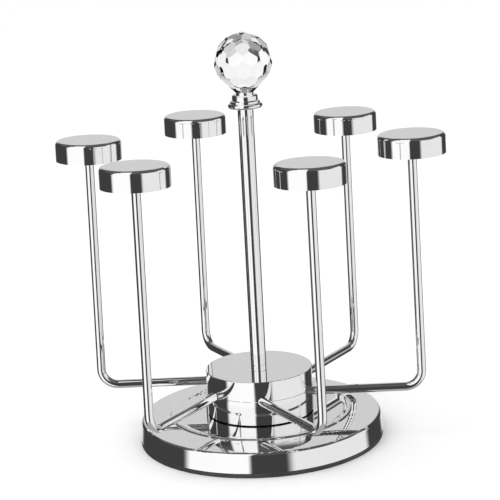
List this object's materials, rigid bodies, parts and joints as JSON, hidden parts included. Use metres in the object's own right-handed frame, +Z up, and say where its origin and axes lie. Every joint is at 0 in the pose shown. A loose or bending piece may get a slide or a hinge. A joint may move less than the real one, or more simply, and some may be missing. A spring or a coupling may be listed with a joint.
{
  "type": "revolving mug tree",
  "caption": "Chrome mug tree: a weighted round base, a revolving hub with bent rod arms ending in button caps, and a post with a faceted crystal ball.",
  "frame": {"origin": "centre of the base on the surface it stands on", "axes": "+Z up along the post, which is also the axis the hub turns on; +X to the right of someone in front, who looks along +Y"},
  "size_m": [0.274, 0.2638, 0.2938],
  "materials": {
    "chrome": "mirror-polished chrome plate",
    "plain_steel": "zinc-plated",
    "iron": "as cast, painted",
    "die_cast": "as cast",
    "rubber": "matt",
    "nylon": "moulded",
    "plug_plastic": "moulded",
    "crystal": "cut and polished"
  },
  "bodies": {
    "base": {"base_plate": "chrome", "foot_ring": "rubber", "base_cover": "plain_steel", "base_weight": "iron", "cover_screws": "plain_steel", "pivot_bolt": "plain_steel", "base_nut": "plain_steel", "pivot_washer": "plain_steel", "pivot_nut": "plain_steel", "lower_race": "plain_steel"},
    "carousel": {"upper_race": "plain_steel", "hub_drum": "chrome", "pivot_bush": "nylon", "drum_screws": "plain_steel", "arm_carrier": "die_cast", "clamp_ring": "die_cast", "clamp_screws": "plain_steel", "hub_lid": "chrome", "arm_1": "chrome", "arm_2": "chrome", "arm_3": "chrome", "arm_4": "chrome", "arm_5": "chrome", "arm_6": "chrome", "cap_1": "chrome", "cap_2": "chrome", "cap_3": "chrome", "cap_4": "chrome", "cap_5": "chrome", "cap_6": "chrome", "cap_plug_1": "plug_plastic", "cap_plug_2": "plug_plastic", "cap_plug_3": "plug_plastic", "cap_plug_4": "plug_plastic", "cap_plug_5": "plug_plastic", "cap_plug_6": "plug_plastic", "post_tube": "chrome", "tie_rod": "plain_steel", "finial_collar": "chrome", "ball_stud": "plain_steel", "crystal_ball": "crystal"},
    "ball_set": {"ball_cage": "nylon", "bearing_balls": "plain_steel"}
  },
  "joints": [
    {"name": "carousel_spin", "type": "hinge", "parent": "base", "child": "carousel", "pos_m": [0, 0, 0.026], "axis": [0, 0, 1], "continuous": true},
    {"name": "ball_set_spin", "type": "hinge", "parent": "base", "child": "ball_set", "pos_m": [0, 0, 0.022], "axis": [0, 0, 1], "continuous": true}
  ],
  "couplings": [
    {"joint": "ball_set_spin", "follows": "carousel_spin", "ratio": 0.5}
  ]
}
